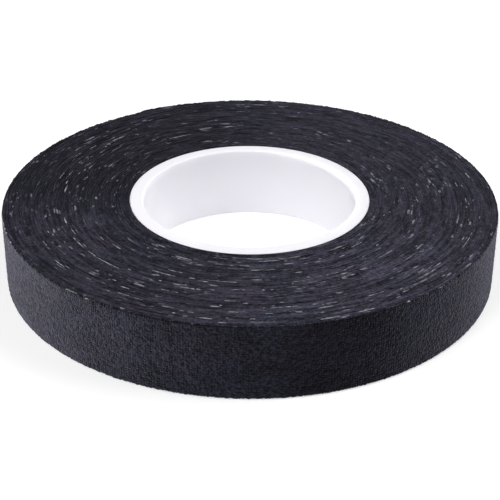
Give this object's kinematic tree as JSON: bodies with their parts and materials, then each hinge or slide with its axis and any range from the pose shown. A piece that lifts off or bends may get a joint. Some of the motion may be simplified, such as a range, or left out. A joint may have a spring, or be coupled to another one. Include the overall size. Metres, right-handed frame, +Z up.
{
  "type": "grip tape roll",
  "caption": "Roll of narrow black woven cloth grip tape wound on an open white plastic core, with a free end that peels off the outermost turn.",
  "frame": {"origin": "centre of the core's bore, on the roll's lower face, which rests on the surface", "axes": "+Z up along the roll's axis; +Y towards the free end of the tape, which lies round the back; the tape winds outwards anticlockwise seen from above"},
  "size_m": [0.0877, 0.088, 0.0134],
  "materials": {
    "core": "satin",
    "cloth": "matte",
    "adhesive": "satin"
  },
  "bodies": {
    "roll": {"core": "core", "wound_turns": "cloth", "outer_turn_cloth": "cloth", "outer_turn_adhesive": "adhesive"},
    "end_1": {"end_cloth_1": "cloth", "end_adhesive_1": "adhesive"},
    "end_2": {"end_cloth_2": "cloth", "end_adhesive_2": "adhesive"},
    "end_3": {"end_cloth_3": "cloth", "end_adhesive_3": "adhesive"},
    "end_4": {"end_cloth_4": "cloth", "end_adhesive_4": "adhesive"},
    "end_5": {"end_cloth_5": "cloth", "end_adhesive_5": "adhesive"},
    "end_6": {"end_cloth_6": "cloth", "end_adhesive_6": "adhesive"},
    "end_7": {"end_cloth_7": "cloth", "end_adhesive_7": "adhesive"},
    "end_8": {"end_cloth_8": "cloth", "end_adhesive_8": "adhesive"}
  },
  "joints": [
    {"name": "peel_1", "type": "hinge", "parent": "roll", "child": "end_1", "pos_m": [0.02202, 0.03815, 0.0067], "axis": [0, 0, -1], "range_deg": [0, 20]},
    {"name": "peel_2", "type": "hinge", "parent": "end_1", "child": "end_2", "pos_m": [0.01686, 0.04071, 0.0067], "axis": [0, 0, -1], "range_deg": [0, 20]},
    {"name": "peel_3", "type": "hinge", "parent": "end_2", "child": "end_3", "pos_m": [0.01141, 0.04257, 0.0067], "axis": [0, 0, -1], "range_deg": [0, 20]},
    {"name": "peel_4", "type": "hinge", "parent": "end_3", "child": "end_4", "pos_m": [0.00575, 0.0437, 0.0067], "axis": [0, 0, -1], "range_deg": [0, 20]},
    {"name": "peel_5", "type": "hinge", "parent": "end_4", "child": "end_5", "pos_m": [0, 0.04409, 0.0067], "axis": [0, 0, -1], "range_deg": [0, 20]},
    {"name": "peel_6", "type": "hinge", "parent": "end_5", "child": "end_6", "pos_m": [-0.00576, 0.04372, 0.0067], "axis": [0, 0, -1], "range_deg": [0, 20]},
    {"name": "peel_7", "type": "hinge", "parent": "end_6", "child": "end_7", "pos_m": [-0.01142, 0.0426, 0.0067], "axis": [0, 0, -1], "range_deg": [0, 20]},
    {"name": "peel_8", "type": "hinge", "parent": "end_7", "child": "end_8", "pos_m": [-0.01688, 0.04076, 0.0067], "axis": [0, 0, -1], "range_deg": [0, 20]}
  ],
  "couplings": [
    {"joint": "peel_2", "follows": "peel_1", "ratio": 1},
    {"joint": "peel_3", "follows": "peel_1", "ratio": 1},
    {"joint": "peel_4", "follows": "peel_1", "ratio": 1},
    {"joint": "peel_5", "follows": "peel_1", "ratio": 1},
    {"joint": "peel_6", "follows": "peel_1", "ratio": 1},
    {"joint": "peel_7", "follows": "peel_1", "ratio": 1},
    {"joint": "peel_8", "follows": "peel_1", "ratio": 1}
  ]
}
